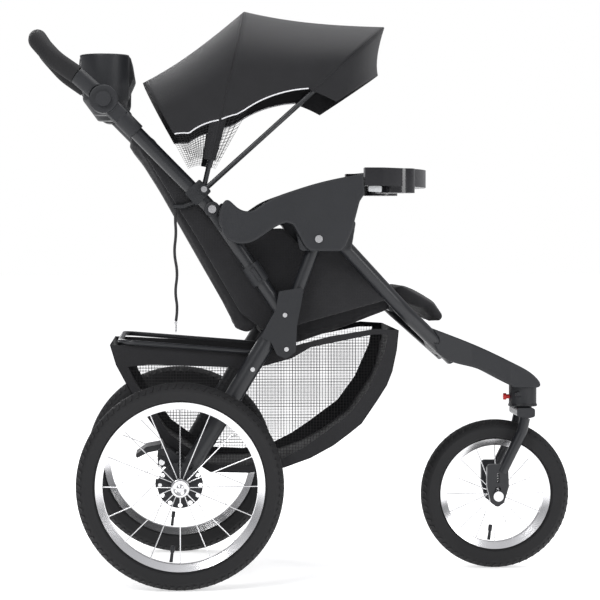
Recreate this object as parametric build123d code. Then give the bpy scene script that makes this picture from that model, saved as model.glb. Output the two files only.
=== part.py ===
from build123d import *
from math import cos, hypot, pi, radians, sin, tan
import os

# Three-wheel jogging stroller.  X runs forwards, Y across, Z up, all in millimetres.
# While building, X = 0 is the rear axle and Z = 0 is the ground; the finished parts are
# moved along X at the end so that the origin is under the middle of the whole stroller.

# ---------------------------------------------------------------- driving dimensions
WHEELBASE = 661.0            # rear axle to front axle
REAR_TYRE_R = 205.0          # 16 inch wheel
REAR_RIM_R = 166.0
REAR_TYRE_W = 48.0
FRONT_TYRE_R = 156.0         # 12.5 inch wheel
FRONT_RIM_R = 115.0
FRONT_TYRE_W = 50.0
RIM_DEPTH = 13.0             # rim band, outer radius to inner radius
RIM_W = 30.0
TRACK = 540.0                # between the middles of the two rear tyres
SPOKES = 16
SPOKE_R = 1.1
FRAME_Y = 215.0              # middle of the push tubes and rear legs
PUSH_R = 14.0                # push tube outer radius
LEG_UPPER_R = 13.0
LEG_LOWER_R = 18.0
FRONT_TUBE_R = 15.0
GAP = 0.3                    # air between bodies that don't fit each other
RUN = 0.05                   # radial clearance of a pin in its bore

# Joint places in the side view (X, Z)
FOLD_PIVOT = (64.0, 751.0)          # push frame on the armrest
LEG_PIVOT = (273.0, 692.0)          # rear leg on the armrest bracket
HANDLE_PIVOT = (-150.0, 968.0)      # handlebar angle joint
CANOPY_PIVOT = (48.0, 790.0)        # both canopy bows
SEAT_HINGE = (138.0, 520.0)         # seat back recline
SWIVEL_X = 720.0                    # front fork swivel axis
BRAKE_PIVOT = (-34.0, 262.0)        # brake bar behind the rear legs

PUSH_END = (203.0, 545.0)           # lower end of the push tube, in the leg bracket
HANDLE_END = (-286.0, 1097.0)       # middle of the grip
HANDLE_R = 12.5
GRIP_R = 18.5

PEG_R = 6.0                  # tray pegs that slide into the armrests
PEG_Z = 808.0
PEG_BACK = 332.0
ARM_Y = 252.0                # middle of an armrest
ARM_W = 40.0
SEAT_HALF_W = 158.0
BACK_HALF_W = 182.0
BASKET_HALF_W = 186.4
CANOPY_HALF_W = 257.0
CLOTH = 2.0                  # thickness of the plain fabric solids

parts = {}


# ---------------------------------------------------------------- shared shape makers
def add(name, *solids):
    """Keep one sub-part; several like pieces share a node as separate solids."""
    flat = []
    for item in solids:
        flat.extend(item.solids())
    parts[name] = flat


def flip(solid):
    """The same piece on the other side of the stroller."""
    return mirror(solid, about=Plane.XZ)


def side_plane(y):
    """Plane seen from the side: local x is forwards, local y is up, extruding towards -Y."""
    return Plane.XZ.offset(-y)


def slab(outline, y_low, y_high):
    """Extrude a closed side-view face between two distances across the stroller."""
    return extrude(side_plane(y_high) * outline, amount=y_high - y_low)


def polygon(points):
    return make_face(Polyline(*points, close=True))


def rounded(points, radius):
    """A side-view outline with its corners rounded."""
    return make_face(FilletPolyline(*points, radius=radius, close=True))


def disc(centre, radius, y_low, y_high):
    """Round piece whose axis runs across the stroller."""
    return slab(Pos(centre[0], centre[1]) * Circle(radius), y_low, y_high)


def rod(start, end, radius, inner=0.0):
    """Straight round bar or tube from one point to another."""
    start, end = Vector(*start), Vector(*end)
    plane = Plane(origin=start, z_dir=end - start)
    section = Circle(radius)
    if inner > 0:
        section = section - Circle(inner)
    return extrude(plane * section, amount=(end - start).length)


def pipe(points, radius, bend, inner=0.0):
    """Round tube along straight runs joined by tangent arcs."""
    path = FilletPolyline(*points, radius=bend)
    section = Circle(radius)
    if inner > 0:
        section = section - Circle(inner)
    return sweep(Plane(origin=path @ 0, z_dir=path % 0) * section, path=path)


def at(point, y):
    """A side-view point placed across the stroller."""
    return (point[0], y, point[1])


def along(start, end, distance):
    """Side-view point a distance from start towards end."""
    length = hypot(end[0] - start[0], end[1] - start[1])
    share = distance / length
    return (start[0] + (end[0] - start[0]) * share, start[1] + (end[1] - start[1]) * share)


def beside(start, end, distance, offset):
    """Side-view point along a line, then to the upper right of it."""
    length = hypot(end[0] - start[0], end[1] - start[1])
    dx, dz = (end[0] - start[0]) / length, (end[1] - start[1]) / length
    base = along(start, end, distance)
    return (base[0] + dz * offset, base[1] - dx * offset)


# ---------------------------------------------------------------- wheels
HUB_R = 9.5
AXLE_R = 6.0
DISC_R = 45.0                # notched brake disc
DISC_Y = (-26.0, -20.0)      # its faces, measured outwards from the wheel's middle
DISC_NOTCHES = 12
NOTCH_R = 4.5
NOTCH_RING_R = 40.0
PIN_R = 4.0
SPOKE_FLANGE_R = 15.0


def tyre(centre, outer, rim, width):
    """Foam filled tyre with a crowned tread; its bead lies inside the rim's lips."""
    bead = rim - 4.0
    half = width / 2
    bead_half = RIM_W / 2 - 3.0
    lip = rim + 1.5
    profile = make_face([
        Polyline((bead, -bead_half), (lip, -bead_half), (rim + 6, -half + 3), (outer - 16, -half)),
        ThreePointArc((outer - 16, -half), (outer, 0), (outer - 16, half)),
        Polyline((outer - 16, half), (rim + 6, half - 3), (lip, bead_half), (bead, bead_half)),
        Line((bead, bead_half), (bead, -bead_half)),
    ])
    ring = revolve(Plane.XY * profile, axis=Axis.Y)
    return Pos(*centre) * ring


def rim(centre, outer, tread_w):
    """Double wall rim band that the tyre's bead sits on."""
    inner = outer - RIM_DEPTH
    bead = outer - 4.0
    profile = polygon([
        (inner, -tread_w / 2 + 6), (outer + 1, -tread_w / 2), (outer + 1, -tread_w / 2 + 2.6),
        (bead - GAP, -tread_w / 2 + 2.8), (bead - GAP, tread_w / 2 - 2.8),
        (outer + 1, tread_w / 2 - 2.6), (outer + 1, tread_w / 2), (inner, tread_w / 2 - 6),
    ])
    return Pos(*centre) * revolve(Plane.XY * profile, axis=Axis.Y)


def spokes(centre, rim_r, flange_half):
    """Wire spokes from two hub flanges to the rim, alternately left and right."""
    wires = []
    reach = rim_r - RIM_DEPTH + 2.0
    for number in range(SPOKES):
        turn = radians(number * 360.0 / SPOKES)
        side = 1 if number % 2 else -1
        foot = (centre[0] + (SPOKE_FLANGE_R - 2) * cos(turn), centre[1] + side * flange_half,
                centre[2] + (SPOKE_FLANGE_R - 2) * sin(turn))
        tip = (centre[0] + reach * cos(turn), centre[1], centre[2] + reach * sin(turn))
        wires.append(rod(foot, tip, SPOKE_R))
    return wires


def hub(centre, half, flange_half, cap_side):
    """Hub barrel with its spoke flanges and outer cap, bored for the axle."""
    x, y, z = centre
    body = rod((x, y - half, z), (x, y + half, z), HUB_R)
    for side in (-1, 1):
        body += rod((x, y + side * flange_half - 2, z), (x, y + side * flange_half + 2, z),
                    SPOKE_FLANGE_R)
    if cap_side:
        body += rod((x, y + cap_side * half, z), (x, y + cap_side * (half + 9), z), 19.0)
    bore_end = half + (0 if cap_side else 1)
    bore_start = -cap_side * (half + 1) if cap_side else -half - 1
    bore_stop = cap_side * bore_end if cap_side else half + 1
    return body - rod((x, y + bore_start, z), (x, y + bore_stop, z), AXLE_R + RUN)


def brake_disc(centre, side):
    """Disc with round notches for the brake pin, fixed to the hub's inner end."""
    x, y, z = centre
    low, high = y + side * DISC_Y[0], y + side * DISC_Y[1]
    plate = rod((x, low, z), (x, high, z), DISC_R)
    for number in range(DISC_NOTCHES):
        turn = radians(number * 360.0 / DISC_NOTCHES)
        cx, cz = x + NOTCH_RING_R * cos(turn), z + NOTCH_RING_R * sin(turn)
        plate -= rod((cx, low - side, cz), (cx, high + side, cz), NOTCH_R)
    return plate - rod((x, low - side, z), (x, high + side, z), AXLE_R + RUN)


for side, word in ((-1, "right"), (1, "left")):
    middle = (0.0, side * TRACK / 2, REAR_TYRE_R)
    add(f"rear_tyre_{word}", tyre(middle, REAR_TYRE_R, REAR_RIM_R, REAR_TYRE_W))
    wires = spokes(middle, REAR_RIM_R, 16.0)
    add(f"rear_rim_{word}", rim(middle, REAR_RIM_R, RIM_W), *wires)
    add(f"rear_hub_{word}", hub(middle, 20.0, 16.0, side) - Compound(wires),
        brake_disc(middle, side))

FRONT_AXLE = (WHEELBASE, 0.0, FRONT_TYRE_R)
add("front_tyre", tyre(FRONT_AXLE, FRONT_TYRE_R, FRONT_RIM_R, FRONT_TYRE_W))
front_wires = spokes(FRONT_AXLE, FRONT_RIM_R, 16.0)
add("front_rim", rim(FRONT_AXLE, FRONT_RIM_R, RIM_W), *front_wires)
add("front_hub", hub(FRONT_AXLE, 24.0, 16.0, 0) - Compound(front_wires))


# ---------------------------------------------------------------- rear legs and axle
LEG_TOP = LEG_PIVOT
LEG_KNEE = (229.0, 577.0)            # where the upper tube ends in the bracket
LEG_LOW_TOP = (184.0, 506.0)         # top end of the lower tube
AXLE = (0.0, REAR_TYRE_R)
BRACKET_GAP = 0.4                    # side clearance of the push tube in the bracket

upper = rod(at(LEG_TOP, FRAME_Y), at(LEG_KNEE, FRAME_Y), LEG_UPPER_R)
upper += disc(LEG_TOP, LEG_UPPER_R + 2, FRAME_Y - LEG_UPPER_R + 1.5, FRAME_Y + LEG_UPPER_R - 0.5)
upper -= disc(LEG_TOP, 4 + RUN, FRAME_Y - 30, FRAME_Y + 30)
add("rear_leg_uppers", upper, flip(upper))

lower = rod(at(LEG_LOW_TOP, FRAME_Y), at(AXLE, FRAME_Y), LEG_LOWER_R)
lower += disc(AXLE, LEG_LOWER_R + 2, FRAME_Y - LEG_LOWER_R + 1, FRAME_Y + LEG_LOWER_R - 1)
lower -= disc(AXLE, AXLE_R, FRAME_Y - 30, FRAME_Y + 30)

# The bracket joins both leg tubes and is a channel, open to the rear, for the push tube.
bracket_outline = rounded([(196, 588), (246, 596), (240, 560), (232, 520), (230, 468),
                           (210, 454), (192, 462), (180, 488), (160, 496), (172, 520),
                           (190, 552)], 5)
bracket = slab(bracket_outline, FRAME_Y - 20, FRAME_Y + 20)
channel_end = along(FOLD_PIVOT, PUSH_END, hypot(PUSH_END[0] - FOLD_PIVOT[0],
                                                PUSH_END[1] - FOLD_PIVOT[1]) + 1.0)
swing_room = polygon([beside(FOLD_PIVOT, channel_end, 160, PUSH_R + GAP),
                      beside(FOLD_PIVOT, channel_end, 249, PUSH_R + GAP),
                      beside(FOLD_PIVOT, channel_end, 249, -60),
                      beside(FOLD_PIVOT, channel_end, 160, -60)])
bracket -= slab(swing_room, FRAME_Y - PUSH_R - BRACKET_GAP, FRAME_Y + PUSH_R + BRACKET_GAP)
bracket -= rod(at(LEG_TOP, FRAME_Y), at(LEG_KNEE, FRAME_Y), LEG_UPPER_R)
bracket -= rod(at(LEG_LOW_TOP, FRAME_Y), at(AXLE, FRAME_Y), LEG_LOWER_R)
LEG_SCREW = (144.0, 433.0)
SCREW_R = 4.5
SCREW_SINK = 1.5
lower -= disc(LEG_SCREW, SCREW_R, FRAME_Y + LEG_LOWER_R - SCREW_SINK, FRAME_Y + 30)
add("rear_leg_lowers", lower, flip(lower))
add("leg_brackets", bracket, flip(bracket))

AXLE_END = TRACK / 2 + 20.0
axle = rod((0, -AXLE_END + 0.5, REAR_TYRE_R), (0, AXLE_END - 0.5, REAR_TYRE_R), AXLE_R)
sleeve = rod((0, -FRAME_Y + LEG_LOWER_R + GAP, REAR_TYRE_R),
             (0, FRAME_Y - LEG_LOWER_R - GAP, REAR_TYRE_R), 12.0)
sleeve -= rod((0, -FRAME_Y, REAR_TYRE_R), (0, FRAME_Y, REAR_TYRE_R), AXLE_R)
add("rear_axle", axle, sleeve)

# Basket rim: a bent tube from one lower leg round the back to the other.
RIM_TUBE_R = 5.0
RIM_FRONT = (166.0, 464.0)
RIM_REAR = (-120.0, 487.0)
RIM_Y = FRAME_Y - LEG_LOWER_R - RIM_TUBE_R - GAP
rim_tube = pipe([at(RIM_FRONT, -RIM_Y), at(RIM_REAR, -RIM_Y), at(RIM_REAR, RIM_Y),
                 at(RIM_FRONT, RIM_Y)], RIM_TUBE_R, 30)
add("basket_rim", rim_tube)

# Fasteners of the rear legs: bracket screws, link rivets and axle nuts.
leg_bolts = []
for centre, depth in (((208.0, 541.0), 20.0), ((211.0, 473.0), 20.0),
                      (LEG_SCREW, LEG_LOWER_R - SCREW_SINK)):
    leg_bolts.append(disc(centre, SCREW_R, FRAME_Y + depth, FRAME_Y + depth + 3.5))
add("leg_screws", *leg_bolts, *[flip(bolt) for bolt in leg_bolts])


# ---------------------------------------------------------------- brake
BRAKE_BAR_R = 6.0
BRAKE_ARM_Y = 196.0
bar = rod(at(BRAKE_PIVOT, -BRAKE_ARM_Y), at(BRAKE_PIVOT, BRAKE_ARM_Y), BRAKE_BAR_R)
pedal = slab(rounded([(-36, 268), (-70, 262), (-92, 246), (-90, 238), (-66, 250), (-36, 256)], 3),
             -45, 45)
add("brake_pedal", bar + pedal)

# Ears on the legs carry the bar; the brake pins slide through them into the discs.
ear = slab(rounded([(-46, 256), (-44, 272), (-22, 274), (26, 236), (8, 226)], 4),
           BRAKE_ARM_Y - 6, BRAKE_ARM_Y + 6)
ear -= disc(BRAKE_PIVOT, BRAKE_BAR_R + RUN, BRAKE_ARM_Y - 10, BRAKE_ARM_Y + 10)
ear += slab(Pos(14, 236) * Rectangle(16, 12), BRAKE_ARM_Y + 4, FRAME_Y - 10)
ear -= rod(at(LEG_LOW_TOP, FRAME_Y), at(AXLE, FRAME_Y), LEG_LOWER_R)

# A notch of the disc lies straight behind the axle at rest, so the pin is level with it.
PIN_PLACE = (-NOTCH_RING_R, REAR_TYRE_R)
disc_face = TRACK / 2 + DISC_Y[0]
pin_tip = disc_face - 1.5
guide = slab(Pos(*PIN_PLACE) * Rectangle(18, 16), FRAME_Y - 14, FRAME_Y + 14)
guide += slab(Pos(-24, REAR_TYRE_R) * Rectangle(20, 12), FRAME_Y - 10, FRAME_Y + 10)
guide -= disc(AXLE, LEG_LOWER_R + 2, FRAME_Y - 30, FRAME_Y + 30)
guide -= disc(PIN_PLACE, PIN_R + RUN, FRAME_Y - 30, FRAME_Y + 30)
add("brake_brackets", ear, flip(ear), guide, flip(guide))
pin = disc(PIN_PLACE, PIN_R, FRAME_Y - 24, pin_tip)
pin += disc(PIN_PLACE, PIN_R + 2.5, FRAME_Y - 27, FRAME_Y - 23)
add("brake_pin_left", pin)
add("brake_pin_right", flip(pin))


# ---------------------------------------------------------------- armrests and front frame
ARM_IN = ARM_Y - ARM_W / 2
ARM_OUT = ARM_Y + ARM_W / 2
EAR_IN = FRAME_Y + PUSH_R + GAP
PIVOT_PIN_R = 4.0

arm_side = make_face([
    Spline((82, 716), (80, 752), (92, 769), (113, 754), (137, 747), (166, 763), (216, 785),
           (267, 801), (361, 821)),
    Polyline((361, 821), (364, 781), (354, 766), (340, 712), (325, 678), (315, 668),
             (257, 668), (247, 676), (223, 720), (210, 724)),
    Spline((210, 724), (162, 698), (131, 683), (109, 684), (91, 694), (82, 716)),
])
# Its rear end is hollowed where the canopy hinge swings past, and an ear holds the fold pivot.
SWING_R = 80.0
SWING_OUT = 253.0
arm = slab(arm_side, ARM_IN, ARM_OUT)
arm -= disc(FOLD_PIVOT, SWING_R, ARM_IN - 10, SWING_OUT)
arm += disc(FOLD_PIVOT, 16, EAR_IN, EAR_IN + 6)
arm += slab(rounded([(58, 741), (66, 741), (102, 728), (118, 702), (94, 698), (74, 712)], 3),
            EAR_IN, EAR_IN + 6)
arm += slab(rounded([(90, 722), (102, 728), (118, 702), (94, 698)], 3), EAR_IN, SWING_OUT + 2)
arm -= disc(FOLD_PIVOT, PIVOT_PIN_R, EAR_IN - 1, EAR_IN + 8)
leg_plate_in = FRAME_Y + LEG_UPPER_R + GAP
arm += slab(rounded([(238, 668), (340, 668), (350, 730), (224, 730)], 8), leg_plate_in, ARM_IN + 4)
arm -= disc(LEG_PIVOT, 4.0, leg_plate_in - 1, ARM_OUT + 1)
arm = arm - slab(rounded([(112, 704), (146, 704), (208, 742), (205, 760), (150, 738),
                          (118, 728)], 5), ARM_IN - 1, ARM_IN + 16)

# The front tubes slope down and inwards from the armrests to the footrest.
TUBE_TOP = (318.0, FRAME_Y, 688.0)
TUBE_KNEE = (450.0, 172.0, 548.0)
TUBE_FOOT = (560.0, 78.0, 446.0)
tube_path = pipe([TUBE_TOP, TUBE_KNEE, TUBE_FOOT], FRONT_TUBE_R, 160)
arm -= tube_path
TRAY_PEG = (PEG_BACK - 2, ARM_Y, PEG_Z)
arm -= rod(TRAY_PEG, (400, ARM_Y, PEG_Z), PEG_R + RUN)
add("armrest_left", arm)
add("armrest_right", flip(arm))

# Pins: push frame on the armrest ears, rear legs on the bracket plates.
fold_pin = disc(FOLD_PIVOT, PIVOT_PIN_R, FRAME_Y - PUSH_R - 4, EAR_IN + 6)
fold_pin += disc(FOLD_PIVOT, 8, EAR_IN + 6, EAR_IN + 9)
leg_pin = disc(LEG_PIVOT, 4.0, FRAME_Y - LEG_UPPER_R - 5, ARM_OUT)
leg_pin += disc(LEG_PIVOT, 7.5, ARM_OUT, ARM_OUT + 3)
add("pivot_pins", fold_pin, flip(fold_pin), leg_pin, flip(leg_pin))

# Footrest moulding: a wedge that carries both front tubes and the swivel housing.
foot_side = make_face([
    Spline((505, 512), (560, 492), (624, 466), (700, 430), (737, 408), (752, 392)),
    Polyline((752, 392), (754, 384), (748, 380), (700, 380)),
    Spline((700, 380), (660, 400), (605, 426), (560, 438), (525, 459)),
    Line((525, 459), (505, 512)),
])
foot_plan = make_face(Polyline((500, -138), (500, 138), (600, 96), (690, 40), (760, 30),
                               (760, -30), (690, -40), (600, -96), close=True))
footrest = slab(foot_side, -150, 150) & extrude(Pos(0, 0, 300) * foot_plan, amount=300)
footrest -= tube_path
footrest -= flip(tube_path)
STEM_R = 11.0
HOUSING_R = 29.0
STEM_TOP = 392.0
HOUSING_TOP = 398.0
footrest -= rod((SWIVEL_X, 0, 300), (SWIVEL_X, 0, HOUSING_TOP), HOUSING_R)
add("footrest", footrest)
housing = rod((SWIVEL_X, 0, 344), (SWIVEL_X, 0, HOUSING_TOP), HOUSING_R)
housing += rod((SWIVEL_X, 0, 340), (SWIVEL_X, 0, 344), HOUSING_R + 1.5)
housing -= rod((SWIVEL_X, 0, 339), (SWIVEL_X, 0, STEM_TOP + 1), STEM_R + RUN)
KNOB_Z = 360.0
KNOB_R = 4.5
housing -= rod((SWIVEL_X - HOUSING_R - 2, 0, KNOB_Z), (SWIVEL_X - STEM_R + 3, 0, KNOB_Z), KNOB_R + RUN)
knob = rod((SWIVEL_X - HOUSING_R - 6, 0, KNOB_Z), (SWIVEL_X - STEM_R - 1, 0, KNOB_Z), KNOB_R)
knob += rod((SWIVEL_X - HOUSING_R - 12, 0, KNOB_Z), (SWIVEL_X - HOUSING_R - 6, 0, KNOB_Z), 7)
add("swivel_knob", knob)
badge = rod((SWIVEL_X - 14, -HOUSING_R - 0.6, 366), (SWIVEL_X - 14, -HOUSING_R + 9, 366), 5.5)
inserts = badge + flip(badge)
inserts = inserts - rod((SWIVEL_X, 0, 339), (SWIVEL_X, 0, 399), HOUSING_R)
add("swivel_housing", housing, inserts)


# ---------------------------------------------------------------- front fork and wheel
FORK_Y = 46.0
FORK_LEG_R = 9.0
CROWN_Z = 322.0
stem = rod((SWIVEL_X, 0, CROWN_Z), (SWIVEL_X, 0, STEM_TOP), STEM_R)
stem -= rod((SWIVEL_X - STEM_R - 2, 0, KNOB_Z), (SWIVEL_X + STEM_R + 2, 0, KNOB_Z), KNOB_R + 0.3)
stem -= rod((SWIVEL_X, -STEM_R - 2, KNOB_Z), (SWIVEL_X, STEM_R + 2, KNOB_Z), KNOB_R + 0.3)
crown = rod((SWIVEL_X, 0, CROWN_Z), (SWIVEL_X, 0, 339.6), 19)
crown += slab(rounded([(700, 339), (738, 339), (738, 321), (722, 317), (700, 322)], 5),
              -FORK_Y - 8, FORK_Y + 8)
leg_path = pipe([(718, FORK_Y, 318), (712, FORK_Y, 290), (670, FORK_Y, 205)], FORK_LEG_R + 2, 40)
dropout = slab(rounded([(638, 222), (682, 222), (684, 176), (674, 142), (660, 132), (646, 142),
                        (638, 176)], 8), FORK_Y - 7, FORK_Y + 7)
SLOT_LOW, SLOT_HIGH = FRONT_TYRE_R, FRONT_TYRE_R + 14.0
slot = Pos(WHEELBASE, (SLOT_LOW + SLOT_HIGH) / 2) * Rectangle(2 * AXLE_R + 0.2, SLOT_HIGH - SLOT_LOW)
dropout -= slab(slot, FORK_Y - 10, FORK_Y + 10)
for end in (SLOT_LOW, SLOT_HIGH):
    dropout -= disc((WHEELBASE, end), AXLE_R + 0.1, FORK_Y - 10, FORK_Y + 10)
SPRING_R = 5.0
SPRING_TOP = 210.0
well = rod((WHEELBASE, FORK_Y, SLOT_HIGH), (WHEELBASE, FORK_Y, SPRING_TOP), SPRING_R + 0.4)
dropout -= slab(Pos(WHEELBASE, 194) * Rectangle(5, 20), FORK_Y, FORK_Y + 10)
fork_side = leg_path + dropout - well
fork = stem + crown + fork_side + flip(fork_side)
add("fork", fork)
spring = rod((WHEELBASE, FORK_Y, FRONT_TYRE_R + AXLE_R), (WHEELBASE, FORK_Y, SPRING_TOP), SPRING_R)
spring -= rod((WHEELBASE, FORK_Y, FRONT_TYRE_R), (WHEELBASE, FORK_Y, SPRING_TOP + 1), SPRING_R - 1.4)
add("fork_springs", spring, flip(spring))
nut_in = FORK_Y + 7 + GAP
front_axle = rod((WHEELBASE, -nut_in - 8, FRONT_TYRE_R), (WHEELBASE, nut_in + 8, FRONT_TYRE_R), AXLE_R)
for side in (-1, 1):
    front_axle += rod((WHEELBASE, side * 24.4, FRONT_TYRE_R),
                      (WHEELBASE, side * (FORK_Y - 7 - GAP), FRONT_TYRE_R), 9)
nut = rod((WHEELBASE, nut_in, FRONT_TYRE_R), (WHEELBASE, nut_in + 9, FRONT_TYRE_R), 10.5)
nut -= rod((WHEELBASE, 0, FRONT_TYRE_R), (WHEELBASE, nut_in + 8, FRONT_TYRE_R), AXLE_R)
add("front_axle", front_axle, nut, flip(nut))


# ---------------------------------------------------------------- push frame
HANDLE_CUT = 32.0            # the push tube stops inside the joint shell
push_top = along(HANDLE_PIVOT, FOLD_PIVOT, HANDLE_CUT)
tube = pipe([at(push_top, FRAME_Y), at(FOLD_PIVOT, FRAME_Y), at(PUSH_END, FRAME_Y)], PUSH_R, 200)
tube_solid = tube
tube -= disc(FOLD_PIVOT, PIVOT_PIN_R + RUN, FRAME_Y - 30, FRAME_Y + 30)
add("push_tubes", tube, flip(tube))

# Fold latch: a sleeve on each push tube that slides up to free the tube from the leg bracket.
LATCH_R = PUSH_R + 4.5
latch_low = along(FOLD_PIVOT, PUSH_END, 176)
latch_high = along(FOLD_PIVOT, PUSH_END, 134)
latch = rod(at(latch_low, FRAME_Y), at(latch_high, FRAME_Y), LATCH_R, PUSH_R + RUN)
thumb = rod(at(along(FOLD_PIVOT, PUSH_END, 170), FRAME_Y + LATCH_R - 1),
            at(along(FOLD_PIVOT, PUSH_END, 142), FRAME_Y + LATCH_R - 1), 5)
latch += thumb - rod(at(latch_low, FRAME_Y), at(latch_high, FRAME_Y), LATCH_R - 0.5)
add("fold_latch_left", latch)
add("fold_latch_right", flip(latch))

# Joint shells: one half on the push tube, one on the handlebar, meeting at a toothed disc.
DISC_PIVOT_R = 28.0
SHELL_R = 18.0
SHELL_IN = FRAME_Y - 18.0
SHELL_OUT = FRAME_Y + 18.0
LOWER_END = along(HANDLE_PIVOT, FOLD_PIVOT, 92)
UPPER_START = along(HANDLE_PIVOT, HANDLE_END, 20)
UPPER_END = (-204.0, 1017.0)
UPPER_KNEE = (-246.0, 1046.0)
lower_shell = rod(at(along(HANDLE_PIVOT, FOLD_PIVOT, 22), FRAME_Y), at(LOWER_END, FRAME_Y), SHELL_R)
lower_shell += disc(HANDLE_PIVOT, DISC_PIVOT_R, FRAME_Y + GAP, SHELL_OUT + 6)
lower_shell += slab(polygon([beside(HANDLE_PIVOT, FOLD_PIVOT, 0, 15),
                             beside(HANDLE_PIVOT, FOLD_PIVOT, 50, 15),
                             beside(HANDLE_PIVOT, FOLD_PIVOT, 50, -15),
                             beside(HANDLE_PIVOT, FOLD_PIVOT, 0, -15)]),
                    FRAME_Y + GAP, SHELL_OUT)
lower_shell -= disc(HANDLE_PIVOT, DISC_PIVOT_R + 1.0, SHELL_IN - 10, FRAME_Y + GAP)
lower_shell -= tube_solid
AXIS_R = 6.0
lower_shell -= disc(HANDLE_PIVOT, AXIS_R, FRAME_Y - 30, FRAME_Y + 40)
add("joint_shells_lower", lower_shell, flip(lower_shell))

upper_shell = rod(at(UPPER_START, FRAME_Y), at(UPPER_END, FRAME_Y), SHELL_R - 1)
upper_shell += disc(HANDLE_PIVOT, DISC_PIVOT_R, SHELL_IN - 6, FRAME_Y)
upper_shell -= disc(HANDLE_PIVOT, DISC_PIVOT_R + 1.0, FRAME_Y, SHELL_OUT + 20)
upper_shell -= disc(HANDLE_PIVOT, AXIS_R + RUN, FRAME_Y - 40, FRAME_Y + 40)

bar_points = [at(along(HANDLE_PIVOT, UPPER_END, 34), FRAME_Y), at(UPPER_END, FRAME_Y),
              (UPPER_KNEE[0], FRAME_Y - 2, UPPER_KNEE[1]),
              (-282, 178, 1086), (-287, 96, 1098), (-287, 0, 1098)]
bar_path = FilletPolyline(*bar_points, radius=[60, 60, 44, 120])
bar_half = sweep(Plane(origin=bar_path @ 0, z_dir=bar_path % 0) * Circle(HANDLE_R), path=bar_path)
grip_path = FilletPolyline(*[at(UPPER_END, FRAME_Y), *bar_points[2:]], radius=[60, 44, 120])
grip_solid = sweep(Plane(origin=grip_path @ 0, z_dir=grip_path % 0) * Circle(GRIP_R),
                   path=grip_path)
grip_half = grip_solid - bar_half
upper_shell -= bar_half
upper_shell -= grip_solid
add("joint_shells_upper", upper_shell, flip(upper_shell))
add("handlebar", bar_half + flip(bar_half))
add("handle_grip", grip_half, flip(grip_half))

# Round release buttons at the outside of each joint disc, pressed in to free the handle.
BUTTON_TRAVEL = 4.0
button = disc(HANDLE_PIVOT, 15.0, SHELL_OUT + 6 + GAP + BUTTON_TRAVEL, SHELL_OUT + 15)
axis_pin = disc(HANDLE_PIVOT, AXIS_R, SHELL_IN - 6, SHELL_OUT + 6)
axis_pin -= disc(HANDLE_PIVOT, 3.0 + RUN, SHELL_OUT - 12, SHELL_OUT + 20)
button += disc(HANDLE_PIVOT, 3.0, SHELL_OUT - 12 + BUTTON_TRAVEL + GAP, SHELL_OUT + 15)
add("handle_button_left", button)
add("handle_button_right", flip(button))


# ---------------------------------------------------------------- parent console
CONSOLE_TOP = 1063.0
CUP_Y = 118.0
CUP_R = 41.0
CUP_DEPTH = 92.0
CUP_WALL = 5.0
CUP_X = -151.0
cup_outer = loft([Pos(CUP_X + 8, CUP_Y, CONSOLE_TOP - CUP_DEPTH - 30) * Circle(30),
                  Pos(CUP_X + 2, CUP_Y, CONSOLE_TOP - CUP_DEPTH) * Circle(CUP_R + CUP_WALL),
                  Pos(CUP_X, CUP_Y, CONSOLE_TOP) * Circle(CUP_R + CUP_WALL + 4)], ruled=True)
middle_bin = slab(rounded([(-202, CONSOLE_TOP), (-99, CONSOLE_TOP), (-92, 1020), (-108, 984),
                           (-176, 984), (-204, 1040)], 8), -CUP_Y + 20, CUP_Y - 20)
BIN_HALF = 58.0
BIN_FLOOR = 1006.0
bin_hollow = slab(rounded([(-190, CONSOLE_TOP + 20), (-110, CONSOLE_TOP + 20), (-112, BIN_FLOOR),
                           (-176, BIN_FLOOR)], 6), -BIN_HALF, BIN_HALF)
console = middle_bin + cup_outer + flip(cup_outer)
console -= bin_hollow
for side in (-1, 1):
    console -= rod((CUP_X, side * CUP_Y, CONSOLE_TOP - CUP_DEPTH),
                   (CUP_X, side * CUP_Y, CONSOLE_TOP + 20), CUP_R)
# Side arms hold the console on the lower joint shells.
ARM_NEAR, ARM_FAR = 34.0, 60.0
for side in (-1, 1):
    web = slab(polygon([beside(HANDLE_PIVOT, FOLD_PIVOT, ARM_NEAR, 0),
                        beside(HANDLE_PIVOT, FOLD_PIVOT, ARM_FAR, 0),
                        beside(HANDLE_PIVOT, FOLD_PIVOT, ARM_FAR, -20),
                        beside(HANDLE_PIVOT, FOLD_PIVOT, ARM_NEAR, -20)]),
               min(side * CUP_Y, side * FRAME_Y), max(side * CUP_Y, side * FRAME_Y))
    console += web
    console -= rod((CUP_X, side * CUP_Y, CONSOLE_TOP - CUP_DEPTH),
                   (CUP_X, side * CUP_Y, CONSOLE_TOP + 20), CUP_R)
console -= Compound([lower_shell, flip(lower_shell), tube_solid, flip(tube_solid)])
add("console", console)


# ---------------------------------------------------------------- canopy
EYE_R = 9.0
MID_Y = 236.5
FRONT_Y = 245.5
EYE_T = 8.0
MID_ANGLE = 77.0
MID_REACH = 380.0
FRONT_ANGLE = 42.1
FRONT_REACH = 506.0
VISOR_ANGLE = 33.5
VISOR_REACH = 434.0
REAR_ANGLE = 119.0
REAR_REACH = 254.0
ARCH_RISE = 150.0            # height of the rounded top of an arch above its straight arms
BOW_R = 4.0


def arch_plane(angle):
    """Plane through the canopy pivot line, local x across and local y along the bow."""
    turn = radians(angle)
    return Plane(origin=at(CANOPY_PIVOT, 0), x_dir=(0, 1, 0), z_dir=(sin(turn), 0, -cos(turn)))


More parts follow.
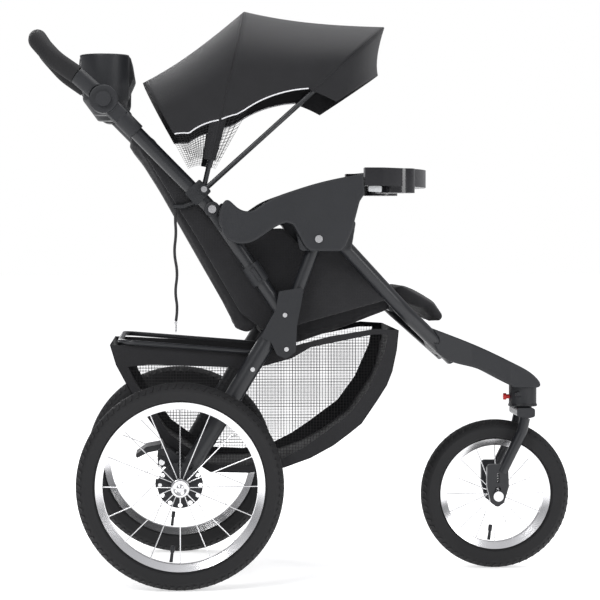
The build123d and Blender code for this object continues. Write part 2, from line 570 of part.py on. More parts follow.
def arch_band(angle, half, reach, start, rise):
    """Inverted U section of the fabric in the plane of one bow."""
    outer = make_face([
        Polyline((half, reach - rise), (half, start), (-half, start), (-half, reach - rise)),
        EllipticalCenterArc((0, reach - rise), half, rise, start_angle=0, arc_size=180),
    ])
    inner_half = half - CLOTH
    inner = make_face([
        Polyline((inner_half, reach - rise), (inner_half, start - 1), (-inner_half, start - 1),
                 (-inner_half, reach - rise)),
        EllipticalCenterArc((0, reach - rise), inner_half, rise - CLOTH, start_angle=0,
                            arc_size=180),
    ])
    return arch_plane(angle) * (outer - inner)


def bow(angle, eye_y, reach, rise):
    """Bent tube from one pivot eye over the top to the other."""
    half = eye_y
    arms = [Line((half, EYE_R - 1), (half, reach - rise)),
            EllipticalCenterArc((0, reach - rise), half, rise - BOW_R, start_angle=0, arc_size=180),
            Line((-half, reach - rise), (-half, EYE_R - 1))]
    path = arch_plane(angle) * Wire(arms)
    tube = sweep(Plane(origin=path @ 0, z_dir=path % 0) * Circle(BOW_R - 0.2), path=path)
    for side in (-1, 1):
        tube += disc(CANOPY_PIVOT, EYE_R, side * eye_y - EYE_T / 2, side * eye_y + EYE_T / 2)
    return tube - disc(CANOPY_PIVOT, 3 + RUN, -eye_y - 10, eye_y + 10)


add("mid_bow", bow(MID_ANGLE, MID_Y, MID_REACH - CLOTH - GAP, ARCH_RISE))
add("front_bow", bow(FRONT_ANGLE, FRONT_Y, FRONT_REACH - CLOTH - GAP, ARCH_RISE))
canopy_half = CANOPY_HALF_W
add("canopy_rear", loft([arch_band(REAR_ANGLE, canopy_half, REAR_REACH, 70, 90),
                         arch_band(MID_ANGLE + 0.3, canopy_half, MID_REACH, 70, ARCH_RISE)],
                        ruled=True))
add("canopy_front", loft([arch_band(MID_ANGLE - 0.3, canopy_half, MID_REACH, 70, ARCH_RISE),
                          arch_band(FRONT_ANGLE + 0.3, canopy_half, FRONT_REACH, 70, ARCH_RISE)],
                         ruled=True))
add("visor", loft([arch_band(FRONT_ANGLE - 0.3, canopy_half, FRONT_REACH, 300, ARCH_RISE),
                   arch_band(VISOR_ANGLE, canopy_half, VISOR_REACH, 290, 120)], ruled=True))

clip = slab(rounded([beside(FOLD_PIVOT, HANDLE_PIVOT, 26, 24), beside(FOLD_PIVOT, HANDLE_PIVOT, 60, 24),
                     beside(FOLD_PIVOT, HANDLE_PIVOT, 60, -17), beside(FOLD_PIVOT, HANDLE_PIVOT, 26, -17)],
                    4), FRAME_Y - PUSH_R - 3, MID_Y - EYE_T / 2 - GAP)
clip -= tube_solid
clip -= disc(CANOPY_PIVOT, 3, FRAME_Y, FRAME_Y + 40)
add("canopy_clips", clip, flip(clip))
pin_end = FRONT_Y + EYE_T / 2 + GAP
canopy_pin = disc(CANOPY_PIVOT, 3, MID_Y - EYE_T / 2 - GAP - 3, pin_end)
canopy_pin += disc(CANOPY_PIVOT, 6, pin_end, pin_end + 2)
canopy_pin -= tube_solid
add("push_frame_pins", axis_pin, flip(axis_pin), canopy_pin, flip(canopy_pin))


# ---------------------------------------------------------------- seat
cushion_side = rounded([(158.4, 496), (232, 488), (330, 520), (432, 560), (438, 592), (400, 596),
                        (330, 566), (236, 540), (158.4, 540)], 9)
add("seat_cushion", slab(cushion_side, -SEAT_HALF_W, SEAT_HALF_W))
back_side = rounded([(116, 524), (150, 528), (-8, 806), (-58, 890), (-92, 914), (-106, 896),
                     (-70, 850), (-36, 796), (98, 560)], 8)
SEAT_ROLL_R = 20.0           # round lower edge of the back, turning against the cushion
back_pad = slab(back_side, -BACK_HALF_W + 4, BACK_HALF_W - 4)
back_pad += disc(SEAT_HINGE, SEAT_ROLL_R, -BACK_HALF_W + 4, BACK_HALF_W - 4)
add("seat_back", back_pad)

# The cushion's front edge lies on a rod between the front tubes.
SEAT_ROD = (426.8, 551.0)
seat_rod = rod(at(SEAT_ROD, -168), at(SEAT_ROD, 168), 6)
seat_rod = (seat_rod - tube_path - flip(tube_path)).solids().sort_by(SortBy.VOLUME)[-1]
add("front_frame", tube_path, flip(tube_path), seat_rod)

side_panel = slab(rounded([(300, 546), (352, 700), (372, 690), (414, 626), (432, 590),
                           (396, 584), (330, 554)], 6), SEAT_HALF_W + GAP, SEAT_HALF_W + GAP + 5)
add("seat_sides", side_panel, flip(side_panel))
calf_side = rounded([(434.4, 570), (438.6, 592.5), (452, 596), (520, 556), (540, 532), (534, 520), (516, 530),
                     (500, 544)], 5)
add("calf_pad", slab(calf_side, -104, 104))

buckle = slab(rounded([(278, 612), (296, 616), (286, 650), (268, 646)], 4), -26, 26)
buckle -= slab(Pos(286, 632) * Rot(0, 0, 14) * Rectangle(12, 14), -9, 9)
strap = slab(rounded([(296, 550), (318, 556), (292, 620), (283, 618)], 2), -16, 16)
strap -= slab(cushion_side, -40, 40)
strap -= buckle
add("crotch_strap", strap.solids().sort_by(Axis.Z)[-1])
add("buckle", buckle)
button_in = slab(Pos(287.2, 632.3) * Rot(0, 0, 14) * Rectangle(8, 13), -8.5, 8.5)
add("buckle_button", button_in)
belt_line = [(146, 548), (-8, 806)]
shoulder = slab(polygon([beside(belt_line[0], belt_line[1], 70, 0.4),
                         beside(belt_line[0], belt_line[1], 280, 0.4),
                         beside(belt_line[0], belt_line[1], 280, 4.0),
                         beside(belt_line[0], belt_line[1], 70, 4.0)]), 44, 82)
add("shoulder_straps", shoulder, flip(shoulder))


# ---------------------------------------------------------------- storage basket
basket_out = make_face([
    Polyline((-140, 480), (-136, 481.6), (-124, 481.6), (-88, 478.8), (60, 471), (150, 464),
             (224, 476), (300, 496), (392, 512), (440, 508)),
    Spline((440, 508), (427, 425), (397, 367), (365, 320), (308, 276), (209, 232), (60, 224),
           (-30, 282), (-96, 380), (-128, 440), (-140, 480)),
])
basket_in = make_face([
    Polyline((-136, 500), (60, 500), (434, 560), (434, 508)),
    Spline((434, 508), (421, 428), (391, 371), (360, 325), (305, 281), (208, 237), (62, 229),
           (-26, 286), (-91, 383), (-124, 441), (-136, 480)),
    Line((-136, 480), (-136, 500)),
])
basket = slab(basket_out, -BASKET_HALF_W, BASKET_HALF_W)
basket -= slab(basket_in, -BASKET_HALF_W + 3, BASKET_HALF_W - 3)
add("basket", basket)


# ---------------------------------------------------------------- child tray
TRAY_TOP = 833.0
TRAY_SIDE = ARM_OUT - 2.0
TRAY_BACK = 364.5
tray_plan = make_face([
    Polyline((TRAY_BACK, -TRAY_SIDE), (TRAY_BACK, TRAY_SIDE), (400, TRAY_SIDE - 2)),
    ThreePointArc((400, TRAY_SIDE - 2), (512, 0), (400, -TRAY_SIDE + 2)),
    Line((400, -TRAY_SIDE + 2), (TRAY_BACK, -TRAY_SIDE)),
])
cut_plan = make_face([
    Polyline((TRAY_BACK - 10, -ARM_IN - 6), (TRAY_BACK - 10, ARM_IN + 6), (380, ARM_IN - 10)),
    ThreePointArc((380, ARM_IN - 10), (404, 0), (380, -ARM_IN + 10)),
    Line((380, -ARM_IN + 10), (TRAY_BACK - 10, -ARM_IN - 6)),
])
tray = extrude(Pos(0, 0, 797) * tray_plan, amount=TRAY_TOP - 797)
tray -= extrude(Pos(0, 0, 780) * cut_plan, amount=80)
WELL_HALF_W = 126.0
well_plan = make_face([
    ThreePointArc((438, -WELL_HALF_W), (486, 0), (438, WELL_HALF_W)),
    ThreePointArc((438, WELL_HALF_W), (428, 0), (438, -WELL_HALF_W)),
])
tray -= extrude(Pos(0, 0, 812) * well_plan, amount=40)
TRAY_CUP_R = 36.0
TRAY_CUP = (432.0, 178.0)
TRAY_CUP_FLOOR = 790.0
for side in (-1, 1):
    tray += rod((TRAY_CUP[0], side * TRAY_CUP[1], TRAY_CUP_FLOOR - 6),
                (TRAY_CUP[0], side * TRAY_CUP[1], TRAY_TOP), TRAY_CUP_R + 4)
for side in (-1, 1):
    tray -= rod((TRAY_CUP[0], side * TRAY_CUP[1], TRAY_CUP_FLOOR),
                (TRAY_CUP[0], side * TRAY_CUP[1], TRAY_TOP + 20), TRAY_CUP_R)
for side in (-1, 1):
    tray += rod((PEG_BACK, side * ARM_Y, PEG_Z), (TRAY_BACK + 4, side * ARM_Y, PEG_Z), PEG_R)
add("child_tray", tray)

tab = slab(rounded([(372, 786), (398, 784), (398, 796.7), (372, 796.7)], 3), ARM_Y - 10, ARM_Y + 10)
add("tray_latches", tab, flip(tab))


# ---------------------------------------------------------------- recline strap, hanging free
STRAP_R = 3.0
STRAP_Y = -FRAME_Y + 22.0
strap_points = [(-8, STRAP_Y, 751.4), (-9.5, STRAP_Y, 732), (-7, STRAP_Y, 702), (-12, STRAP_Y, 664),
                (-4, STRAP_Y, 624), (-10, STRAP_Y, 586), (-4, STRAP_Y, 552), (-8, STRAP_Y, 528)]


def bend_radii(points, limit=0.45):
    """Largest bend at each corner that its two straight runs leave room for."""
    radii = []
    for before, corner, after in zip(points, points[1:], points[2:]):
        first = Vector(*corner) - Vector(*before)
        second = Vector(*after) - Vector(*corner)
        turn = radians(first.get_angle(second))
        radii.append(limit * min(first.length, second.length) / tan(turn / 2))
    return radii


radii = bend_radii(strap_points)
print("strap bend radii", [round(radius, 1) for radius in radii])
strap_path = FilletPolyline(*strap_points, radius=radii)
strap_tube = sweep(Plane(origin=strap_path @ 0, z_dir=strap_path % 0) * Circle(STRAP_R),
                   path=strap_path)
print("strap length", round(strap_path.length, 1), "volume over section times length",
      round(strap_tube.volume / (pi * STRAP_R ** 2 * strap_path.length), 4))
add("recline_strap", strap_tube)
hook_top = strap_points[-1][2] - 0.6
hook = rod((-8, STRAP_Y - 9, hook_top - 3), (-8, STRAP_Y + 9, hook_top - 3), 3)
hook += rod((-8, STRAP_Y + 9, hook_top - 3), (-8, STRAP_Y + 9, hook_top - 20), 2)
hook += rod((-8, STRAP_Y - 9, hook_top - 20), (-8, STRAP_Y + 9, hook_top - 20), 2)
add("strap_hook", hook)
anchor = rod((-14, STRAP_Y, 757), (10, STRAP_Y, 757), 5)
anchor += rod((8, STRAP_Y, 757), (36, STRAP_Y, 768), 5)
anchor += rod((34, STRAP_Y, 767), (34, -FRAME_Y + PUSH_R + 3, 767), 4)
add("strap_anchor", anchor)


# ---------------------------------------------------------------- move to the shared origin
back_end = HANDLE_END[0] - 1 - GRIP_R
front_end = WHEELBASE + FRONT_TYRE_R
ORIGIN_X = (back_end + front_end) / 2
if __name__ == "__main__":
    os.makedirs("parts", exist_ok=True)
    for name, solids in parts.items():
        moved = [Pos(-ORIGIN_X, 0, 0) * solid for solid in solids]
        shape = moved[0] if len(moved) == 1 else Compound(children=moved)
        export_step(shape, f"parts/{name}.step")
    print("nodes", len(parts), "origin x", round(ORIGIN_X, 2))
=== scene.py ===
import bmesh
import bpy
from math import atan2, cos, pi, radians, sin
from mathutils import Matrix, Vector


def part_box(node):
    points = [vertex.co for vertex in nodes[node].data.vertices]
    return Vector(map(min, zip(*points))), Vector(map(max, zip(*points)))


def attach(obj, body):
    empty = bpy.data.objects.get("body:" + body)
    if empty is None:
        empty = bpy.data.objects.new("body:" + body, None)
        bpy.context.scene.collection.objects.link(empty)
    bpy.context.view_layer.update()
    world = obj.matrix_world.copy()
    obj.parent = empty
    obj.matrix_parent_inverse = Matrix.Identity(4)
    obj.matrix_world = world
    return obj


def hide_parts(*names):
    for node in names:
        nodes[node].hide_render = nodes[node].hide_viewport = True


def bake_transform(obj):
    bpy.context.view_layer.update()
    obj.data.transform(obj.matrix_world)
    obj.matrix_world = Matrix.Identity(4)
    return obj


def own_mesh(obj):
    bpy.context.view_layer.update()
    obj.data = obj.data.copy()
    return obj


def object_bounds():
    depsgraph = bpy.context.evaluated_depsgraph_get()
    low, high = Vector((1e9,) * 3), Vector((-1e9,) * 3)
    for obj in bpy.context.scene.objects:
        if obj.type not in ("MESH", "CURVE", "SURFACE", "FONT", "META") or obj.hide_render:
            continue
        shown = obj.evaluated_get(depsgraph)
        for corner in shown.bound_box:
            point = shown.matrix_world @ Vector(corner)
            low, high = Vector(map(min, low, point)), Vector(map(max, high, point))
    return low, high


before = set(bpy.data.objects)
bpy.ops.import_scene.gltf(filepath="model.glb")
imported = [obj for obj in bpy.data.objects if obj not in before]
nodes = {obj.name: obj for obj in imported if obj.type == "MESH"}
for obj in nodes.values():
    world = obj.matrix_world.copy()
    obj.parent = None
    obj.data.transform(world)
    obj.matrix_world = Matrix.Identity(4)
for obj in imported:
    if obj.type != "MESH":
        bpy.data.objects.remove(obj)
cad_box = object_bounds()

# ==== Studio ====
# A pale floor in a white surround that lights the model only dimly, with a key light behind
# the camera's left shoulder, a fill at its right, one overhead and one behind the stroller.
# The camera looks at the stroller's right side, a little below the armrests.
low = cad_box[0]
axle_low, axle_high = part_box("rear_axle")
AXLE_X = (axle_low[0] + axle_high[0]) / 2
CAMERA_AWAY = 4.615
CAMERA_HEIGHT = 0.708
CAMERA_YAW = radians(3.11)
CAMERA_DIP = radians(1.79)
scene = bpy.context.scene

camera_data = bpy.data.cameras.new("camera")
camera_data.lens = 132.7
camera_data.sensor_width = 36
camera = bpy.data.objects.new("camera", camera_data)
scene.collection.objects.link(camera)
camera.location = (AXLE_X, -CAMERA_AWAY, CAMERA_HEIGHT)
sight = Vector((sin(CAMERA_YAW) * cos(CAMERA_DIP), cos(CAMERA_YAW) * cos(CAMERA_DIP),
                -sin(CAMERA_DIP)))
camera.rotation_euler = sight.to_track_quat("-Z", "Y").to_euler()
scene.camera = camera

world = bpy.data.worlds.new("studio")
world.use_nodes = True
sky = world.node_tree.nodes["Background"]
sky_links = world.node_tree.links
ray = world.node_tree.nodes.new("ShaderNodeLightPath")
heading = world.node_tree.nodes.new("ShaderNodeTexCoord")
parts_of_heading = world.node_tree.nodes.new("ShaderNodeSeparateXYZ")
ramp = world.node_tree.nodes.new("ShaderNodeValToRGB")
ramp.color_ramp.elements[0].position = 0.42
ramp.color_ramp.elements[0].color = (0.16, 0.16, 0.165, 1)
ramp.color_ramp.elements[1].position = 0.80
ramp.color_ramp.elements[1].color = (0.62, 0.62, 0.64, 1)
height_share = world.node_tree.nodes.new("ShaderNodeMapRange")
height_share.inputs["From Min"].default_value = -1
seen = world.node_tree.nodes.new("ShaderNodeMix")
seen.data_type = "RGBA"
seen.inputs["B"].default_value = (1, 1, 1, 1)
sky_links.new(heading.outputs["Generated"], parts_of_heading.inputs["Vector"])
sky_links.new(parts_of_heading.outputs["Z"], height_share.inputs["Value"])
sky_links.new(height_share.outputs["Result"], ramp.inputs["Fac"])
sky_links.new(ray.outputs["Is Camera Ray"], seen.inputs["Factor"])
sky_links.new(ramp.outputs["Color"], seen.inputs["A"])
sky_links.new(seen.outputs["Result"], sky.inputs["Color"])
scene.world = world
scene.view_settings.view_transform = "Standard"


def soft_light(name, place, target, size, power):
    """A square area light that looks at a point."""
    data = bpy.data.lights.new(name, "AREA")
    data.size = size
    data.energy = power
    lamp = bpy.data.objects.new(name, data)
    lamp.location = place
    lamp.rotation_euler = (Vector(target) - Vector(place)).to_track_quat("-Z", "Y").to_euler()
    scene.collection.objects.link(lamp)


soft_light("key", (-1.6, -2.6, 2.6), (0, 0, 0.6), 1.4, 48)
soft_light("fill", (2.4, -2.2, 1.4), (0, 0, 0.5), 1.2, 22)
soft_light("top", (0.2, 0.4, 3.0), (0, 0, 0.5), 1.6, 40)
soft_light("rim", (-1.2, 2.6, 1.8), (0, 0, 0.7), 1.2, 24)


def mesh_piece(name, points, faces, smooth=True):
    """A new object with its mesh in the shared frame."""
    mesh = bpy.data.meshes.new(name)
    mesh.from_pydata([tuple(point) for point in points], [], faces)
    mesh.update()
    if smooth:
        mesh.polygons.foreach_set("use_smooth", [True] * len(mesh.polygons))
    piece = bpy.data.objects.new(name, mesh)
    scene.collection.objects.link(piece)
    return piece


FLOOR_HALF = 30.0
floor = mesh_piece("floor", [(-FLOOR_HALF, -FLOOR_HALF, low[2]), (FLOOR_HALF, -FLOOR_HALF, low[2]),
                             (FLOOR_HALF, FLOOR_HALF, low[2]), (-FLOOR_HALF, FLOOR_HALF, low[2])],
                   [(0, 1, 2, 3)], smooth=False)
floor_material = bpy.data.materials.new("pale_floor")
floor_material.use_nodes = True
floor_shader = floor_material.node_tree.nodes["Principled BSDF"]
floor_shader.inputs["Base Color"].default_value = (0.90, 0.90, 0.90, 1)
floor_shader.inputs["Emission Color"].default_value = (1, 1, 1, 1)
floor_shader.inputs["Emission Strength"].default_value = 0.55
floor_shader.inputs["Roughness"].default_value = 0.9
floor_shader.inputs["Specular IOR Level"].default_value = 0.1
floor.data.materials.append(floor_material)


# ==== Finishes shared by many pieces ====
# The stroller is nearly all black: powder coated steel tube, fine grained moulded plastic,
# woven polyester and open mesh. Each finish breaks up its colour and gloss at its own scale.
def surface_group(name, fine_scale, rough_low, rough_high, bump):
    """Grain of a hard surface: two noises give a colour shift, a roughness and a normal."""
    group = bpy.data.node_groups.new(name, "ShaderNodeTree")
    scale = group.interface.new_socket("Scale", in_out="INPUT", socket_type="NodeSocketFloat")
    scale.default_value = fine_scale
    group.interface.new_socket("Shade", in_out="OUTPUT", socket_type="NodeSocketFloat")
    group.interface.new_socket("Roughness", in_out="OUTPUT", socket_type="NodeSocketFloat")
    group.interface.new_socket("Normal", in_out="OUTPUT", socket_type="NodeSocketVector")
    made, links = group.nodes, group.links
    entry = made.new("NodeGroupInput")
    leave = made.new("NodeGroupOutput")
    place = made.new("ShaderNodeTexCoord")
    grain = made.new("ShaderNodeTexNoise")
    grain.inputs["Detail"].default_value = 3
    links.new(place.outputs["Object"], grain.inputs["Vector"])
    links.new(entry.outputs["Scale"], grain.inputs["Scale"])
    wide = made.new("ShaderNodeTexNoise")
    wide.inputs["Scale"].default_value = 9
    wide.inputs["Detail"].default_value = 4
    links.new(place.outputs["Object"], wide.inputs["Vector"])
    rough = made.new("ShaderNodeMapRange")
    rough.inputs["From Min"].default_value = 0.3
    rough.inputs["From Max"].default_value = 0.7
    rough.inputs["To Min"].default_value = rough_low
    rough.inputs["To Max"].default_value = rough_high
    links.new(wide.outputs["Fac"], rough.inputs["Value"])
    height = made.new("ShaderNodeBump")
    height.inputs["Strength"].default_value = bump
    height.inputs["Distance"].default_value = 0.0006
    links.new(grain.outputs["Fac"], height.inputs["Height"])
    links.new(wide.outputs["Fac"], leave.inputs["Shade"])
    links.new(rough.outputs["Result"], leave.inputs["Roughness"])
    links.new(height.outputs["Normal"], leave.inputs["Normal"])
    return group


def hard_finish(name, dark, light, group, metallic=0.0, coat=0.0, specular=0.5):
    """A hard material whose colour drifts between two shades with the group's mask."""
    material = bpy.data.materials.new(name)
    material.use_nodes = True
    made, links = material.node_tree.nodes, material.node_tree.links
    shader = made["Principled BSDF"]
    detail = made.new("ShaderNodeGroup")
    detail.node_tree = group
    blend = made.new("ShaderNodeMix")
    blend.data_type = "RGBA"
    blend.inputs["A"].default_value = (*dark, 1)
    blend.inputs["B"].default_value = (*light, 1)
    links.new(detail.outputs["Shade"], blend.inputs["Factor"])
    links.new(blend.outputs["Result"], shader.inputs["Base Color"])
    links.new(detail.outputs["Roughness"], shader.inputs["Roughness"])
    links.new(detail.outputs["Normal"], shader.inputs["Normal"])
    shader.inputs["Metallic"].default_value = metallic
    shader.inputs["Coat Weight"].default_value = coat
    shader.inputs["Specular IOR Level"].default_value = specular
    return material


powder_grain = surface_group("powder_grain", 900, 0.30, 0.42, 0.10)
mould_grain = surface_group("mould_grain", 650, 0.42, 0.58, 0.35)
polish_grain = surface_group("polish_grain", 300, 0.14, 0.26, 0.03)
foam_grain = surface_group("foam_grain", 420, 0.72, 0.86, 0.7)
tyre_grain = surface_group("tyre_grain", 260, 0.62, 0.78, 0.5)
frame_black = hard_finish("powder_coat_black", (0.008, 0.009, 0.011), (0.014, 0.015, 0.018),
                          powder_grain, coat=0.15, specular=0.4)
moulded_black = hard_finish("moulded_plastic_black", (0.010, 0.011, 0.013), (0.018, 0.019, 0.022),
                            mould_grain, specular=0.38)
gloss_black = hard_finish("gloss_tray_black", (0.010, 0.010, 0.012), (0.015, 0.015, 0.017),
                          polish_grain, coat=0.5)
polished_alloy = hard_finish("polished_alloy", (0.72, 0.72, 0.73), (0.86, 0.86, 0.87),
                             polish_grain, metallic=1.0)
bright_steel = hard_finish("bright_plated_steel", (0.62, 0.62, 0.63), (0.78, 0.78, 0.79),
                           polish_grain, metallic=1.0)
grip_foam = hard_finish("grip_foam", (0.010, 0.010, 0.011), (0.020, 0.020, 0.021), foam_grain,
                        specular=0.25)
tyre_rubber = hard_finish("tyre_rubber", (0.009, 0.009, 0.010), (0.017, 0.017, 0.018),
                          tyre_grain, specular=0.3)
red_plastic = hard_finish("red_plastic", (0.42, 0.01, 0.01), (0.60, 0.02, 0.02), mould_grain)
grey_plastic = hard_finish("grey_plastic", (0.42, 0.43, 0.44), (0.52, 0.53, 0.54), mould_grain)


def weave_group(name, pitch):
    """Plain weave: crossed threads over and under, with the slubs of a real yarn."""
    group = bpy.data.node_groups.new(name, "ShaderNodeTree")
    group.interface.new_socket("Strength", in_out="INPUT", socket_type="NodeSocketFloat").default_value = 0.5
    group.interface.new_socket("Shade", in_out="OUTPUT", socket_type="NodeSocketFloat")
    group.interface.new_socket("Normal", in_out="OUTPUT", socket_type="NodeSocketVector")
    made, links = group.nodes, group.links
    entry = made.new("NodeGroupInput")
    leave = made.new("NodeGroupOutput")
    place = made.new("ShaderNodeTexCoord")
    heights = []
    for axis in ("X", "Z"):
        threads = made.new("ShaderNodeTexWave")
        threads.wave_type = "BANDS"
        threads.bands_direction = axis
        threads.inputs["Scale"].default_value = 1 / pitch / 6.283
        threads.inputs["Distortion"].default_value = 0.6
        threads.inputs["Detail"].default_value = 2
        links.new(place.outputs["Object"], threads.inputs["Vector"])
        heights.append(threads.outputs["Fac"])
    crossing = made.new("ShaderNodeMath")
    crossing.operation = "MAXIMUM"
    links.new(heights[0], crossing.inputs[0])
    links.new(heights[1], crossing.inputs[1])
    drift = made.new("ShaderNodeTexNoise")
    drift.inputs["Scale"].default_value = 26
    drift.inputs["Detail"].default_value = 5
    links.new(place.outputs["Object"], drift.inputs["Vector"])
    shade = made.new("ShaderNodeMath")
    shade.operation = "MULTIPLY_ADD"
    shade.inputs[1].default_value = 0.35
    links.new(crossing.outputs["Value"], shade.inputs[0])
    half_drift = made.new("ShaderNodeMath")
    half_drift.operation = "MULTIPLY"
    half_drift.inputs[1].default_value = 0.65
    links.new(drift.outputs["Fac"], half_drift.inputs[0])
    links.new(half_drift.outputs["Value"], shade.inputs[2])
    height = made.new("ShaderNodeBump")
    height.inputs["Distance"].default_value = 0.0005
    links.new(entry.outputs["Strength"], height.inputs["Strength"])
    links.new(crossing.outputs["Value"], height.inputs["Height"])
    links.new(shade.outputs["Value"], leave.inputs["Shade"])
    links.new(height.outputs["Normal"], leave.inputs["Normal"])
    return group


def cloth_finish(name, dark, light, group, roughness, sheen):
    """A woven material with a soft sheen at grazing angles."""
    material = bpy.data.materials.new(name)
    material.use_nodes = True
    made, links = material.node_tree.nodes, material.node_tree.links
    shader = made["Principled BSDF"]
    weave = made.new("ShaderNodeGroup")
    weave.node_tree = group
    blend = made.new("ShaderNodeMix")
    blend.data_type = "RGBA"
    blend.inputs["A"].default_value = (*dark, 1)
    blend.inputs["B"].default_value = (*light, 1)
    links.new(weave.outputs["Shade"], blend.inputs["Factor"])
    links.new(blend.outputs["Result"], shader.inputs["Base Color"])
    links.new(weave.outputs["Normal"], shader.inputs["Normal"])
    shader.inputs["Roughness"].default_value = roughness
    shader.inputs["Specular IOR Level"].default_value = 0.25
    shader.inputs["Sheen Weight"].default_value = sheen
    shader.inputs["Sheen Roughness"].default_value = 0.5
    return material


fine_weave = weave_group("fine_weave", 0.0009)
coarse_weave = weave_group("coarse_weave", 0.0016)
canopy_cloth = cloth_finish("canopy_polyester", (0.008, 0.008, 0.009), (0.016, 0.016, 0.018),
                            fine_weave, 0.72, 0.10)
seat_cloth = cloth_finish("seat_polyester", (0.010, 0.010, 0.011), (0.020, 0.020, 0.022),
                          coarse_weave, 0.82, 0.14)
mesh_thread = cloth_finish("mesh_thread", (0.012, 0.012, 0.013), (0.026, 0.026, 0.028),
                           fine_weave, 0.7, 0.05)
webbing = cloth_finish("black_webbing", (0.012, 0.012, 0.013), (0.028, 0.028, 0.030),
                       coarse_weave, 0.7, 0.15)
reflective = cloth_finish("reflective_piping", (0.62, 0.62, 0.64), (0.78, 0.78, 0.80),
                          fine_weave, 0.45, 0.0)


def wear(material, *names):
    """Give CAD nodes, whose shape stays, this finish."""
    for name in names:
        owner = nodes[name]
        owner.data.materials.clear()
        owner.data.materials.append(material)


def at(x, y, z):
    """A place in the frame from millimetres ahead of the rear axle, across and up."""
    return Vector((AXLE_X + x / 1000, y / 1000, low[2] + z / 1000))


# ==== Tubes, fasteners and small mouldings ====
# The CAD shapes of these are already right, so they only take their finishes.
wear(frame_black, "front_frame", "rear_leg_uppers", "rear_leg_lowers", "rear_axle", "basket_rim",
     "push_tubes", "handlebar", "mid_bow", "front_bow", "fork", "brake_pedal")
wear(moulded_black, "leg_brackets", "brake_brackets", "fold_latch_left", "fold_latch_right",
     "handle_button_left", "handle_button_right", "canopy_clips", "strap_anchor", "buckle",
     "rear_hub_left", "rear_hub_right", "front_hub")
wear(bright_steel, "pivot_pins", "push_frame_pins", "leg_screws", "front_axle",
     "strap_hook", "brake_pin_left", "brake_pin_right")
wear(polished_alloy, "rear_rim_left", "rear_rim_right", "front_rim")
wear(tyre_rubber, "rear_tyre_left", "rear_tyre_right", "front_tyre")
wear(red_plastic, "swivel_knob", "buckle_button")
wear(grey_plastic, "tray_latches")
wear(grip_foam, "handle_grip")


# ==== Tyre treads ====
# Rubber lugs round each tyre: a middle row of blocks and two slanted shoulder rows, laid out
# with Geometry Nodes from one group of three lugs.
WHEELS = {
    "rear_wheel_left": ("rear_tyre_left", 84),
    "rear_wheel_right": ("rear_tyre_right", 84),
    "front_wheel": ("front_tyre", 64),
}
LUG_HEIGHT = 0.005
LUG_SUNK = 0.0028
SHOULDER_DROP = 0.0042
SHOULDER_OUT = 0.0145


def lug_ring(name, centre, radius, count, material):
    """Groups of three lugs, evenly turned about the axle, as one mesh."""
    tree = bpy.data.node_groups.new(name, "GeometryNodeTree")
    tree.interface.new_socket("Geometry", in_out="OUTPUT", socket_type="NodeSocketGeometry")
    made, links = tree.nodes, tree.links
    group = made.new("GeometryNodeJoinGeometry")
    lugs = (((0, 0, 0), (0.010, 0.010, LUG_HEIGHT), 0.0, 0.0),
            ((0.003, SHOULDER_OUT, -SHOULDER_DROP), (0.008, 0.015, LUG_HEIGHT), 0.45, -0.55),
            ((0.003, -SHOULDER_OUT, -SHOULDER_DROP), (0.008, 0.015, LUG_HEIGHT), -0.45, 0.55))
    for shift, size, slant, tilt in lugs:
        lug = made.new("GeometryNodeMeshCube")
        lug.inputs["Size"].default_value = size
        placed = made.new("GeometryNodeTransform")
        placed.inputs["Translation"].default_value = (shift[0], shift[1],
                                                      radius - LUG_SUNK + shift[2])
        placed.inputs["Rotation"].default_value = (tilt, 0, slant)
        links.new(lug.outputs["Mesh"], placed.inputs["Geometry"])
        links.new(placed.outputs["Geometry"], group.inputs["Geometry"])
    spots = made.new("GeometryNodeMeshLine")
    spots.inputs["Count"].default_value = count
    spots.inputs["Offset"].default_value = (0, 0, 0)
    number = made.new("GeometryNodeInputIndex")
    turn = made.new("ShaderNodeMath")
    turn.operation = "MULTIPLY"
    turn.inputs[1].default_value = 2 * pi / count
    links.new(number.outputs["Index"], turn.inputs[0])
    spin = made.new("ShaderNodeCombineXYZ")
    links.new(turn.outputs["Value"], spin.inputs["Y"])
    copies = made.new("GeometryNodeInstanceOnPoints")
    links.new(spots.outputs["Mesh"], copies.inputs["Points"])
    links.new(group.outputs["Geometry"], copies.inputs["Instance"])
    links.new(spin.outputs["Vector"], copies.inputs["Rotation"])
    real = made.new("GeometryNodeRealizeInstances")
    links.new(copies.outputs["Instances"], real.inputs["Geometry"])
    shift_all = made.new("GeometryNodeTransform")
    shift_all.inputs["Translation"].default_value = centre
    links.new(real.outputs["Geometry"], shift_all.inputs["Geometry"])
    coat = made.new("GeometryNodeSetMaterial")
    coat.inputs["Material"].default_value = material
    links.new(shift_all.outputs["Geometry"], coat.inputs["Geometry"])
    leave = made.new("NodeGroupOutput")
    links.new(coat.outputs["Geometry"], leave.inputs["Geometry"])
    return made_real(name, tree)


def made_real(name, tree):
    """The mesh that a Geometry Nodes tree makes, as a plain object."""
    carrier = mesh_piece(name + "_carrier", [(0, 0, 0)], [])
    modifier = carrier.modifiers.new("layout", "NODES")
    modifier.node_group = tree
    bpy.context.view_layer.update()
    evaluated = carrier.evaluated_get(bpy.context.evaluated_depsgraph_get())
    mesh = bpy.data.meshes.new_from_object(evaluated)
    bpy.data.objects.remove(carrier)
    piece = bpy.data.objects.new(name, mesh)
    scene.collection.objects.link(piece)
    return piece


for body, (tyre_node, lug_count) in WHEELS.items():
    tyre_low, tyre_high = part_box(tyre_node)
    middle = tuple((a + b) / 2 for a, b in zip(tyre_low, tyre_high))
    tread = lug_ring(body + "_tread", middle, (tyre_high[2] - tyre_low[2]) / 2, lug_count,
                     tyre_rubber)
    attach(tread, body)


